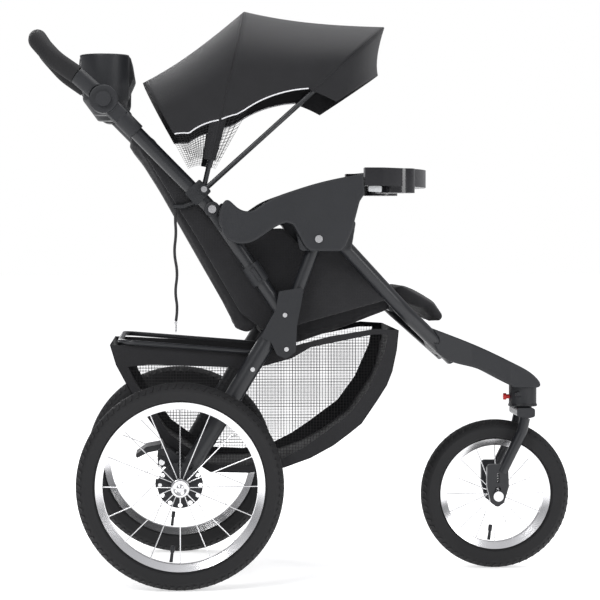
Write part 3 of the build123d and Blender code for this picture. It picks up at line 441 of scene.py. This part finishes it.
# ==== Valves and hub caps ====
# A valve stem stands in from each rim, and each rear hub has a bright cap with a raised edge.
def lathe(name, profile, centre, axis, material, steps=40):
    """A surface of revolution; profile is (distance along the axis, radius) in metres."""
    along = Vector(axis).normalized()
    across = along.orthogonal().normalized()
    third = along.cross(across)
    points = []
    for step in range(steps):
        turn = 2 * pi * step / steps
        outward = across * cos(turn) + third * sin(turn)
        points.extend(Vector(centre) + along * reach + outward * radius
                      for reach, radius in profile)
    size = len(profile)
    faces = [(a * size + b, a * size + b + 1, (a + 1) % steps * size + b + 1,
              (a + 1) % steps * size + b) for a in range(steps) for b in range(size - 1)]
    piece = mesh_piece(name, points, faces)
    piece.data.materials.append(material)
    return piece


VALVE_PROFILE = [(0, 0.0), (0, 0.0036), (0.004, 0.0034), (0.018, 0.0030), (0.020, 0.0042),
                 (0.031, 0.0042), (0.032, 0.0034), (0.032, 0.0)]
RIM_DEPTH = 0.017
VALVE_ANGLE = -97
for body, rim_node in (("rear_wheel_left", "rear_rim_left"), ("rear_wheel_right", "rear_rim_right"),
                       ("front_wheel", "front_rim")):
    rim_low, rim_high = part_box(rim_node)
    middle = Vector([(a + b) / 2 for a, b in zip(rim_low, rim_high)])
    inner = (rim_high[2] - rim_low[2]) / 2 - RIM_DEPTH
    lean = radians(VALVE_ANGLE)
    outward = Vector((cos(lean), 0, sin(lean)))
    valve = lathe(body + "_valve", VALVE_PROFILE, middle + outward * inner, -outward,
                  moulded_black, steps=16)
    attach(valve, body)

CAP_PROFILE = [(0.0, 0.0185), (0.002, 0.0185), (0.003, 0.0172), (0.003, 0.011), (0.0015, 0.010),
               (0.0015, 0.006), (0.0032, 0.0052), (0.0032, 0.0)]
for side, body in ((-1, "rear_wheel_right"), (1, "rear_wheel_left")):
    hub_low, hub_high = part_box("rear_hub_right" if side < 0 else "rear_hub_left")
    outer_y = hub_low[1] if side < 0 else hub_high[1]
    cap = lathe(body + "_cap", CAP_PROFILE, (AXLE_X, outer_y, (hub_low[2] + hub_high[2]) / 2),
                (0, side, 0), bright_steel)
    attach(cap, body)


# ==== Canopy ====
# Black cloth stretched over two bows from the fixed rear edge, a visor in front, white
# piping above the mesh windows at each side, and black tape over the bows.
PIVOT_X = 48.0
PIVOT_Z = 790.0
CANOPY_HALF = 257.0
REAR_EDGE = (119.0, 254.0, 90.0)
MID_BOW = (77.0, 380.0, 150.0)
FRONT_BOW = (42.1, 506.0, 150.0)
VISOR_EDGE = (33.5, 434.0, 120.0)
PIPING = ((140.0, 140.0), (119.0, 124.0), (105.0, 114.0), (77.0, 140.0), (66.0, 162.0),
          (63.0, 175.0), (44.0, 286.0), (30.0, 292.0))
ARM_ROWS = 10
TOP_ROWS = 34
SAG = 9.0


def fan(angle, reach, side):
    """A place in a side panel, at this angle and distance from the canopy's pivot."""
    return at(PIVOT_X + reach * cos(radians(angle)), side * CANOPY_HALF,
              PIVOT_Z + reach * sin(radians(angle)))


def piping_reach(angle):
    """Distance of the piping from the pivot."""
    for (a, reach_a), (b, reach_b) in zip(PIPING, PIPING[1:]):
        if b <= angle <= a:
            return reach_a + (reach_b - reach_a) * (a - angle) / (a - b)
    return PIPING[-1][1]


def arch_row(edge, row):
    """A place on one bow's top: row runs from 0 at the right shoulder to 1 at the left."""
    angle, reach, rise = edge
    turn = pi * row
    across = -CANOPY_HALF * cos(turn)
    out = reach - rise + rise * sin(turn)
    return at(PIVOT_X + out * cos(radians(angle)), across, PIVOT_Z + out * sin(radians(angle)))


def angle_of(point):
    """Angle of a place about the canopy's pivot, seen from the side."""
    pivot = at(PIVOT_X, 0, PIVOT_Z)
    return atan2(point.z - pivot.z, point.x - pivot.x) * 180 / pi


def canopy_panel(name, first, last, columns, low_edge=piping_reach):
    """Cloth from one edge to the next: down each side to the low edge and over the top."""
    points = []
    for column in range(columns + 1):
        t = column / columns
        hollow = 4 * t * (1 - t) * SAG / 1000
        top = []
        for row in range(TOP_ROWS + 1):
            spot = arch_row(first, row / TOP_ROWS).lerp(arch_row(last, row / TOP_ROWS), t)
            inward = at(PIVOT_X, 0, PIVOT_Z) - spot
            top.append(spot + inward.normalized() * hollow * sin(pi * row / TOP_ROWS))
        angle = angle_of(top[0])
        shoulder = (top[0] - at(PIVOT_X, -CANOPY_HALF, PIVOT_Z)).length * 1000
        low_reach = low_edge(angle)
        arms = [low_reach + (shoulder - low_reach) * step / ARM_ROWS for step in range(ARM_ROWS)]
        line = [fan(angle, reach, -1) for reach in arms] + top
        line += [fan(angle, reach, 1) for reach in reversed(arms)]
        points.extend(line)
    size = TOP_ROWS + 1 + 2 * ARM_ROWS
    faces = [(a * size + b, a * size + b + 1, (a + 1) * size + b + 1, (a + 1) * size + b)
             for a in range(columns) for b in range(size - 1)]
    piece = mesh_piece(name, points, faces)
    piece.data.materials.append(canopy_cloth)
    thicken(piece, 0.0012)
    return piece


def thicken(piece, thickness):
    """Give a surface two sides, made real."""
    solid = piece.modifiers.new("thickness", "SOLIDIFY")
    solid.thickness = thickness
    solid.offset = -1
    apply_modifiers(piece)


def apply_modifiers(piece):
    """Replace the mesh by what its modifiers make of it."""
    bpy.context.view_layer.update()
    evaluated = piece.evaluated_get(bpy.context.evaluated_depsgraph_get())
    mesh = bpy.data.meshes.new_from_object(evaluated)
    piece.modifiers.clear()
    piece.data = mesh


FOLD_REACH = 250.0
FOLD_BAND = 45.0


def fold_line(first, last):
    """Two places either side of the line half way between two bows."""
    middle = radians((first[0] + last[0]) / 2)
    return [at(PIVOT_X + FOLD_REACH * cos(middle) - side * FOLD_BAND * sin(middle), 0,
               PIVOT_Z + FOLD_REACH * sin(middle) + side * FOLD_BAND * cos(middle))
            for side in (1, -1)]


rear_cloth = canopy_panel("canopy_rear_cloth", REAR_EDGE, MID_BOW, 24)
rear_start, rear_end = fold_line(REAR_EDGE, MID_BOW)
front_cloth = canopy_panel("canopy_front_cloth", MID_BOW, FRONT_BOW, 24)
front_start, front_end = fold_line(MID_BOW, FRONT_BOW)


VISOR_LOW_REAR = 288.0
VISOR_LOW_FRONT = VISOR_EDGE[1] - VISOR_EDGE[2] - 2.0


def visor_low(angle):
    """The visor's sides taper to its front corners."""
    share = (FRONT_BOW[0] - angle) / (FRONT_BOW[0] - VISOR_EDGE[0])
    return VISOR_LOW_REAR + (VISOR_LOW_FRONT - VISOR_LOW_REAR) * min(1.0, max(0.0, share))


visor_cloth = canopy_panel("visor_cloth", FRONT_BOW, VISOR_EDGE, 8, low_edge=visor_low)
for piece, node in ((rear_cloth, "canopy_rear"), (front_cloth, "canopy_front"),
                    (visor_cloth, "visor")):
    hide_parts(node)
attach(visor_cloth, "front_bow")
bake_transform(rear_cloth)
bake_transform(front_cloth)


# ==== Canopy piping and mesh windows ====
# Reflective piping closes the lower edge of the cloth; below it open mesh runs down to the
# pivot, and black tape covers the bow's arm.
def tube_along(name, route, radius, material, sides=8):
    """A round cord along a line of places, as a mesh."""
    curve = bpy.data.curves.new(name, "CURVE")
    curve.dimensions = "3D"
    curve.bevel_depth = radius
    curve.bevel_resolution = sides // 4
    curve.use_fill_caps = True
    line = curve.splines.new("POLY")
    line.points.add(len(route) - 1)
    for point, place in zip(line.points, route):
        point.co = (*place, 1)
    carrier = bpy.data.objects.new(name + "_carrier", curve)
    scene.collection.objects.link(carrier)
    bpy.context.view_layer.update()
    mesh = bpy.data.meshes.new_from_object(
        carrier.evaluated_get(bpy.context.evaluated_depsgraph_get()))
    bpy.data.objects.remove(carrier)
    mesh.polygons.foreach_set("use_smooth", [True] * len(mesh.polygons))
    piece = bpy.data.objects.new(name, mesh)
    scene.collection.objects.link(piece)
    piece.data.materials.append(material)
    return piece


def strip_between(name, lower, upper, material, thickness=0.0012):
    """A band of cloth between two lines that have as many places."""
    points = [place for pair in zip(lower, upper) for place in pair]
    faces = [(2 * a, 2 * a + 1, 2 * a + 3, 2 * a + 2) for a in range(len(lower) - 1)]
    piece = mesh_piece(name, points, faces)
    piece.data.materials.append(material)
    thicken(piece, thickness)
    return piece


def netting(name, spots, thread, material):
    """Open mesh from a grid of places, one thread along every edge."""
    columns, rows = len(spots), len(spots[0])
    points = [place for column in spots for place in column]
    faces = [(a * rows + b, a * rows + b + 1, (a + 1) * rows + b + 1, (a + 1) * rows + b)
             for a in range(columns - 1) for b in range(rows - 1)]
    piece = mesh_piece(name, points, faces, smooth=False)
    piece.data.materials.append(material)
    threads = piece.modifiers.new("threads", "WIREFRAME")
    threads.thickness = thread
    threads.use_even_offset = False
    apply_modifiers(piece)
    return piece


PIPING_R = 0.0016
WINDOW_LOW = 62.0
NET_THREAD = 0.0011
NET_PITCH = 6.0
NET_ROWS = 13
TAPE_REAR = 81.0
TAPE_REAR_FLARE = 600
TAPE_FRONT = 75.0
TAPE_FRONT_FLARE = 400
tape_reaches = range(60, 160, 8)
rear_angles = [118.0 - step for step in range(0, 41, 2)]
front_angles = [76.0 - step * 1.6 for step in range(0, 21)]
for side, word in ((-1, "right"), (1, "left")):
    for part, angles, bodies, ends in (
            ("rear", rear_angles, ("push_frame", "mid_bow"), (rear_start, rear_end)),
            ("front", front_angles, ("mid_bow", "front_bow"), (front_start, front_end))):
        edge = [fan(angle, piping_reach(angle), side) for angle in angles]
        piping = tube_along(f"piping_{part}_{word}", edge, PIPING_R, reflective)
        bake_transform(piping)
    for part, angles, bodies, ends in (
            ("rear", range(118, 77, -3), ("push_frame", "mid_bow"), (rear_start, rear_end)),
            ("front", range(76, 60, -3), ("mid_bow", "front_bow"), (front_start, front_end))):
        window = [[fan(angle, WINDOW_LOW + (piping_reach(angle) - WINDOW_LOW) * row / NET_ROWS,
                       side) for row in range(NET_ROWS + 1)] for angle in angles]
        net = netting(f"canopy_window_{part}_{word}", window, NET_THREAD, mesh_thread)
        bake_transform(net)
    tape = strip_between(f"bow_tape_{word}",
                         [fan(TAPE_REAR + TAPE_REAR_FLARE / reach, reach, side)
                          for reach in tape_reaches],
                         [fan(TAPE_FRONT - TAPE_FRONT_FLARE / reach, reach, side)
                          for reach in tape_reaches],
                         canopy_cloth, 0.0016)
    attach(tape, "mid_bow")


# ==== Suspension springs ====
# A coil of wire stands on the axle in each fork leg.
SPRING_FOOT = 162.0
SPRING_HEAD = 209.5
SPRING_COILS = 9
SPRING_X = 661.0
FORK_Y = 46.0
COIL_STEPS = 14
COIL_R = 3.9
COIL_WIRE_R = 0.0009
for side, word in ((-1, "right"), (1, "left")):
    coil = []
    for step in range(SPRING_COILS * COIL_STEPS + 1):
        turn = 2 * pi * step / COIL_STEPS
        height = SPRING_FOOT + (SPRING_HEAD - SPRING_FOOT) * step / (SPRING_COILS * COIL_STEPS)
        coil.append(at(SPRING_X + COIL_R * cos(turn), side * FORK_Y + COIL_R * sin(turn), height))
    spring = tube_along(f"fork_spring_{word}", coil, COIL_WIRE_R, bright_steel)
    if side < 0:
        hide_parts("fork_springs")
    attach(spring, "fork")
    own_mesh(spring)


# ==== Basket ====
# Black cloth bands round the rim, the rear, the front edge and the floor, and open mesh in
# the sides.
BASKET_HALF = 185.0
NET_INSET = 0.8
BASKET_OUTLINE = [(-140, 480), (-128, 440), (-96, 380), (-30, 282), (60, 224), (136, 222),
                  (209, 232), (262, 251), (308, 276), (340, 300), (365, 320), (397, 367),
                  (416, 397), (427, 425), (436, 468), (440, 508)]
BASKET_TOP = [(-140, 480), (-88, 478), (60, 470), (150, 464), (224, 476), (300, 496),
              (392, 511), (440, 508)]
NET_OUTLINE = [(-104, 436), (-78, 384), (-20, 300), (62, 240), (136, 236), (197, 246), (241, 268),
               (277, 292), (342, 340), (380, 392), (410, 460), (418, 500), (390, 500), (300, 482),
               (262, 474), (224, 452), (150, 432), (60, 436), (-60, 440)]


def inside(outline, x, z):
    """Whether a place in the side view lies within a closed outline."""
    hit = False
    for (ax, az), (bx, bz) in zip(outline, outline[1:] + outline[:1]):
        if (az > z) != (bz > z) and x < ax + (z - az) * (bx - ax) / (bz - az):
            hit = not hit
    return hit


def side_net(name, outline, y, material):
    """Open mesh that fills an outline in the side view, with one thread along every edge."""
    low_x = min(x for x, z in outline)
    low_z = min(z for x, z in outline)
    wide = int((max(x for x, z in outline) - low_x) / NET_PITCH) + 2
    tall = int((max(z for x, z in outline) - low_z) / NET_PITCH) + 2
    points, faces = [], []
    numbers = {}

    def corner(column, row):
        """The number of a grid corner, made when first asked for."""
        if (column, row) not in numbers:
            numbers[column, row] = len(points)
            points.append(at(low_x + column * NET_PITCH, y, low_z + row * NET_PITCH))
        return numbers[column, row]

    for column in range(wide):
        for row in range(tall):
            x = low_x + (column + 0.5) * NET_PITCH
            z = low_z + (row + 0.5) * NET_PITCH
            if inside(outline, x, z):
                faces.append((corner(column, row), corner(column + 1, row),
                              corner(column + 1, row + 1), corner(column, row + 1)))
    piece = mesh_piece(name, points, faces, smooth=False)
    piece.data.materials.append(material)
    threads = piece.modifiers.new("threads", "WIREFRAME")
    threads.thickness = NET_THREAD
    threads.use_even_offset = False
    apply_modifiers(piece)
    return piece


def framed_panel(name, outline, opening, y, material):
    """Flat cloth in the side view with an opening cut out of it."""
    mesh_maker = bmesh.new()
    edges = []
    for loop in (outline, opening):
        corners = [mesh_maker.verts.new(at(x, y, z)) for x, z in loop]
        edges += [mesh_maker.edges.new(pair) for pair in zip(corners, corners[1:] + corners[:1])]
    bmesh.ops.triangle_fill(mesh_maker, edges=edges, use_beauty=True, use_dissolve=False)
    mesh = bpy.data.meshes.new(name)
    mesh_maker.to_mesh(mesh)
    mesh_maker.free()
    piece = bpy.data.objects.new(name, mesh)
    scene.collection.objects.link(piece)
    piece.data.materials.append(material)
    thicken(piece, 0.0014)
    return piece


basket_pieces = []
outline = BASKET_OUTLINE + BASKET_TOP[-2:0:-1]
for side, word in ((-1, "right"), (1, "left")):
    band = framed_panel(f"basket_bands_{word}", outline, NET_OUTLINE, side * BASKET_HALF, seat_cloth)
    net = side_net(f"basket_net_{word}", NET_OUTLINE, side * (BASKET_HALF - NET_INSET), mesh_thread)
    basket_pieces += [band, net]
floor_line = [at(x, -BASKET_HALF, z) for x, z in BASKET_OUTLINE]
far_line = [at(x, BASKET_HALF, z) for x, z in BASKET_OUTLINE]
basket_floor = strip_between("basket_floor", floor_line, far_line, seat_cloth, 0.0014)
basket_pieces.append(basket_floor)
for piece in basket_pieces:
    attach(piece, "chassis")
    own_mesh(piece)
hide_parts("basket")


# ==== Padded seat ====
# Cushion, back and calf pad are sewn cloth over foam: each is blown up a little from its plain
# shape with a cloth simulation, so that its faces crown and its edges pull in.
def rounded_copy(name, node, voxel, passes=4):
    """A new mesh with the shape of a CAD node, remeshed evenly and with soft edges."""
    source = nodes[node]
    piece = bpy.data.objects.new(name, source.data.copy())
    scene.collection.objects.link(piece)
    bpy.context.view_layer.update()
    piece.data.transform(source.matrix_world)
    remesh = piece.modifiers.new("even", "REMESH")
    remesh.mode = "VOXEL"
    remesh.voxel_size = voxel
    smooth = piece.modifiers.new("soft", "SMOOTH")
    smooth.factor = 0.5
    smooth.iterations = passes
    apply_modifiers(piece)
    piece.data.polygons.foreach_set("use_smooth", [True] * len(piece.data.polygons))
    piece.data.materials.clear()
    return piece


LARGEST_MOVE = 0.008


def blow_up(piece, pressure, frames=20):
    cloth = piece.modifiers.new("cloth", "CLOTH")
    cloth.settings.use_pressure = True
    cloth.settings.uniform_pressure_force = pressure
    cloth.settings.effector_weights.gravity = 0
    cloth.settings.tension_stiffness = 30
    cloth.settings.compression_stiffness = 30
    cloth.settings.bending_stiffness = 0.8
    cloth.point_cache.frame_start = 1
    cloth.point_cache.frame_end = frames
    for number in range(1, frames + 1):
        scene.frame_set(number)
    before = [vertex.co.copy() for vertex in piece.data.vertices]
    evaluated = piece.evaluated_get(bpy.context.evaluated_depsgraph_get())
    after = [vertex.co.copy() for vertex in evaluated.data.vertices]
    piece.modifiers.clear()
    scene.frame_set(1)
    for vertex, old, new in zip(piece.data.vertices, before, after):
        move = new - old
        if move.length > LARGEST_MOVE:
            move = move.normalized() * LARGEST_MOVE
        vertex.co = old + move


SEAT_PADS = {
    "seat_cushion": ("seat_cushion_pad", "chassis", 4.0),
    "seat_back": ("seat_back_pad", "seat_back", 4.0),
    "calf_pad": ("calf_pad_soft", "chassis", 3.0),
}
PAD_VOXEL = 0.0055
for node, (name, body, pressure) in SEAT_PADS.items():
    pad = rounded_copy(name, node, PAD_VOXEL)
    blow_up(pad, pressure)
    pad.data.materials.append(seat_cloth)
    fine = pad.modifiers.new("fine", "SUBSURF")
    fine.levels = 1
    fine.render_levels = 1
    apply_modifiers(pad)
    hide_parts(node)
    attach(pad, body)


# ==== Seat wings and harness ====
# Cloth wings close the seat's sides from the push tubes to the front tubes, and webbing straps
# lie on the back and come up between the child's legs.
WING_Y = 186.0
WING = [(-70, 860), (-30, 850), (60, 735), (110, 705), (205, 715), (240, 680), (330, 690),
        (345, 650), (430, 590), (420, 570), (330, 545), (240, 520), (170, 505), (120, 545),
        (30, 700)]
FOLDS = 3.0


def filled_cloth(name, outline, y, material, pitch=8.0, fold=FOLDS):
    """Cloth that fills an outline in the side view, with shallow folds across it."""
    mesh_maker = bmesh.new()
    corners = [mesh_maker.verts.new(at(x, y, z)) for x, z in outline]
    mesh_maker.faces.new(corners)
    mesh = bpy.data.meshes.new(name)
    mesh_maker.to_mesh(mesh)
    mesh_maker.free()
    piece = bpy.data.objects.new(name, mesh)
    scene.collection.objects.link(piece)
    solid = piece.modifiers.new("thick", "SOLIDIFY")
    solid.thickness = 0.006
    solid.offset = 0
    remesh = piece.modifiers.new("even", "REMESH")
    remesh.mode = "VOXEL"
    remesh.voxel_size = pitch / 2000
    apply_modifiers(piece)
    wrinkles = bpy.data.textures.new(name + "_folds", "CLOUDS")
    wrinkles.noise_scale = 0.05
    move = piece.modifiers.new("folds", "DISPLACE")
    move.texture = wrinkles
    move.direction = "Y"
    move.strength = fold / 1000
    move.texture_coords = "GLOBAL"
    smooth = piece.modifiers.new("soft", "SMOOTH")
    smooth.iterations = 3
    apply_modifiers(piece)
    piece.data.polygons.foreach_set("use_smooth", [True] * len(piece.data.polygons))
    piece.data.materials.clear()
    piece.data.materials.append(material)
    return piece


for side, word in ((-1, "right"), (1, "left")):
    wing = filled_cloth(f"seat_wing_{word}", WING, side * WING_Y, seat_cloth)
    if side < 0:
        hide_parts("seat_sides")
    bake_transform(wing)
wear(webbing, "crotch_strap", "shoulder_straps")


# ==== Moulded plastic parts ====
# Armrests, footrest, console and the handle's joint shells have rounded edges
# everywhere, so each is remeshed from its plain shape and softened.
MOULDINGS = {
    "armrest_left": ("chassis", 0.0022), "armrest_right": ("chassis", 0.0022),
    "footrest": ("chassis", 0.0024), "console": ("push_frame", 0.0020),
    "joint_shells_lower": ("push_frame", 0.0013),
    "joint_shells_upper": ("handlebar", 0.0013), "swivel_housing": ("chassis", 0.0010),
}
for node, (body, voxel) in MOULDINGS.items():
    moulding = rounded_copy(node + "_moulding", node, voxel, passes=5)
    moulding.data.materials.append(moulded_black)
    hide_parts(node)
    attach(moulding, body)


wear(gloss_black, "child_tray")


# ==== Recline strap ====
# A flat webbing strap hangs free behind the seat from its anchor on the push tube, and ends
# in an open hook.
STRAP_RADIUS = 0.003
STRAP_ROUTE = [(-8, 751.4), (-9.5, 732), (-7, 702), (-12, 664), (-4, 624), (-10, 586),
               (-4, 552), (-8, 528)]
STRAP_Y = -193.0
strap_places = [at(x, STRAP_Y, z) for x, z in STRAP_ROUTE]
strap_curve = bpy.data.curves.new("recline_strap_cord", "CURVE")
strap_curve.dimensions = "3D"
strap_curve.bevel_depth = STRAP_RADIUS
strap_curve.bevel_resolution = 3
strap_curve.resolution_u = 16
strap_curve.use_fill_caps = True
strap_line = strap_curve.splines.new("NURBS")
strap_line.points.add(len(strap_places) - 1)
for point, place in zip(strap_line.points, strap_places):
    point.co = (*place, 1)
strap_line.order_u = 3
strap_line.use_endpoint_u = True
strap = bpy.data.objects.new("recline_strap_cord", strap_curve)
scene.collection.objects.link(strap)
strap_curve.materials.append(webbing)
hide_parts("recline_strap")
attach(strap, "push_frame")
